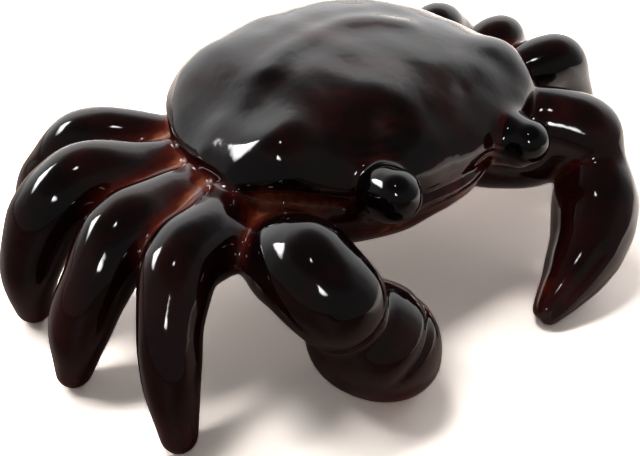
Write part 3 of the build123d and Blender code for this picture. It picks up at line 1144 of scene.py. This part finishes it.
def add_world():
    """White to the camera, and to the glaze a room that is bright behind the crab."""
    world = bpy.data.worlds.new("studio")
    bpy.context.scene.world = world
    world.use_nodes = True
    nodes = world.node_tree.nodes
    links = world.node_tree.links
    nodes.clear()
    output = nodes.new("ShaderNodeOutputWorld")
    room = nodes.new("ShaderNodeBackground")
    seen = nodes.new("ShaderNodeBackground")
    mix = nodes.new("ShaderNodeMixShader")
    path = nodes.new("ShaderNodeLightPath")
    coordinate = nodes.new("ShaderNodeTexCoord")
    split = nodes.new("ShaderNodeSeparateXYZ")
    links.new(coordinate.outputs["Generated"], split.inputs["Vector"])
    height = grey_ramp(nodes, ROOM_BY_HEIGHT)
    links.new(split.outputs["Z"], height.inputs["Fac"])
    behind = nodes.new("ShaderNodeVectorMath")
    behind.operation = "DOT_PRODUCT"
    links.new(coordinate.outputs["Generated"], behind.inputs[0])
    behind.inputs[1].default_value = ROOM_BACK
    calc = functools.partial(math_node, nodes, links)
    half = calc("MULTIPLY_ADD", behind.outputs["Value"], 0.5, 0.5)
    depth = grey_ramp(nodes, ROOM_BY_DEPTH)
    links.new(half, depth.inputs["Fac"])
    level = calc("MULTIPLY_ADD", height.outputs["Color"], depth.outputs["Color"], ROOM_LEAST)
    links.new(level, room.inputs["Color"])
    room.inputs["Strength"].default_value = ROOM_STRENGTH
    seen.inputs["Color"].default_value = (1, 1, 1, 1)
    seen.inputs["Strength"].default_value = 1.0
    links.new(path.outputs["Is Camera Ray"], mix.inputs["Fac"])
    links.new(room.outputs["Background"], mix.inputs[1])
    links.new(seen.outputs["Background"], mix.inputs[2])
    links.new(mix.outputs["Shader"], output.inputs["Surface"])


def add_camera():
    """The camera, where the photo was taken from."""
    data = bpy.data.cameras.new("camera")
    data.lens = bpy.context.scene.crab_stage.lens
    data.sensor_width = 36.0
    data.clip_start = 0.01
    camera = bpy.data.objects.new("camera", data)
    turn = Matrix((CAMERA_RIGHT, CAMERA_UP, CAMERA_BACK)).transposed()
    camera.matrix_world = Matrix.Translation(CAMERA_PLACE) @ turn.to_4x4()
    bpy.context.scene.collection.objects.link(camera)
    bpy.context.scene.camera = camera


class CRAB_OT_stage(bpy.types.Operator):
    """Sets up the floor, the lamps, the world and the camera."""
    bl_idname = "crab.stage"
    bl_label = "Stage"

    def execute(self, context):
        add_floor()
        for row in SHINES:
            add_lamp(*row).visible_diffuse = False
        for row in SOFT_LAMPS:
            add_lamp(*row).visible_glossy = False
        add_world()
        add_camera()
        context.scene.view_settings.view_transform = "Standard"
        return {"FINISHED"}


class CRAB_PT_panel(bpy.types.Panel):
    """Lists the crab's steps and settings."""
    bl_idname = "CRAB_PT_panel"
    bl_label = "Glazed crab"
    bl_space_type = "VIEW_3D"
    bl_region_type = "UI"
    bl_category = "Crab"

    def draw(self, context):
        scene = context.scene
        for group in (scene.crab_clay, scene.crab_glaze, scene.crab_stage):
            column = self.layout.column()
            for key in group.__annotations__:
                column.prop(group, key)
        for operator in OPERATORS:
            self.layout.operator(operator.bl_idname)


OPERATORS = (
    CRAB_OT_clay, CRAB_OT_carapace, CRAB_OT_legs, CRAB_OT_claws, CRAB_OT_eyes, CRAB_OT_stage,
)
CLASSES = (CrabClay, CrabGlaze, CrabStage, *OPERATORS, CRAB_PT_panel)


def register():
    for cls in CLASSES:
        bpy.utils.register_class(cls)
    bpy.types.Scene.crab_clay = bpy.props.PointerProperty(type=CrabClay)
    bpy.types.Scene.crab_glaze = bpy.props.PointerProperty(type=CrabGlaze)
    bpy.types.Scene.crab_stage = bpy.props.PointerProperty(type=CrabStage)


def unregister():
    del bpy.types.Scene.crab_stage
    del bpy.types.Scene.crab_glaze
    del bpy.types.Scene.crab_clay
    for cls in reversed(CLASSES):
        bpy.utils.unregister_class(cls)


def main():
    """Builds the whole crab."""
    register()
    bpy.ops.crab.clay()
    bpy.ops.crab.carapace()
    bpy.ops.crab.legs()
    bpy.ops.crab.claws()
    bpy.ops.crab.eyes()
    bpy.ops.crab.stage()


if __name__ == "__main__":
    main()
